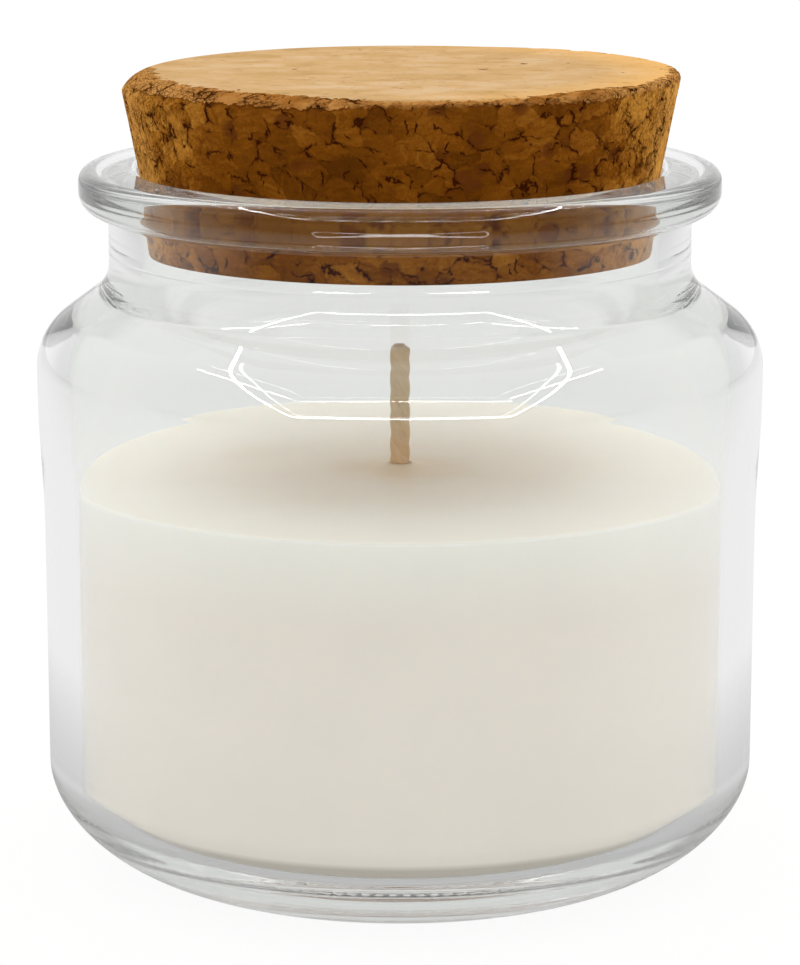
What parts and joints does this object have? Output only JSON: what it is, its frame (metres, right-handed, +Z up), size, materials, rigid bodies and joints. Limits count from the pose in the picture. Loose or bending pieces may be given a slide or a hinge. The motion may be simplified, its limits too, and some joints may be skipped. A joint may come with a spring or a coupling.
{
  "type": "candle jar with cork stopper",
  "caption": "Clear glass candle jar with a bead lip, a tapered cork stopper, a poured wax fill and an upright cotton wick held in the wax.",
  "frame": {"origin": "centre of the ring that the jar stands on, in the plane of that ring", "axes": "+Z up along the jar's axis, through the wick and the stopper; X and Y are level"},
  "size_m": [0.1, 0.1, 0.1096],
  "materials": {
    "clear_glass": "gloss",
    "cork": "matte",
    "wax": "satin",
    "cotton": "matte",
    "tinned_steel": "satin",
    "adhesive": "matte"
  },
  "bodies": {
    "jar": {"glass_jar": "clear_glass", "wax_fill": "wax", "wick": "cotton", "wick_sustainer": "tinned_steel", "adhesive_pad": "adhesive"},
    "stopper": {"cork_stopper": "cork"}
  },
  "joints": [
    {"name": "stopper_lift", "type": "slide", "parent": "jar", "child": "stopper", "axis": [0, 0, 1], "range_m": [0, 0.06]}
  ]
}
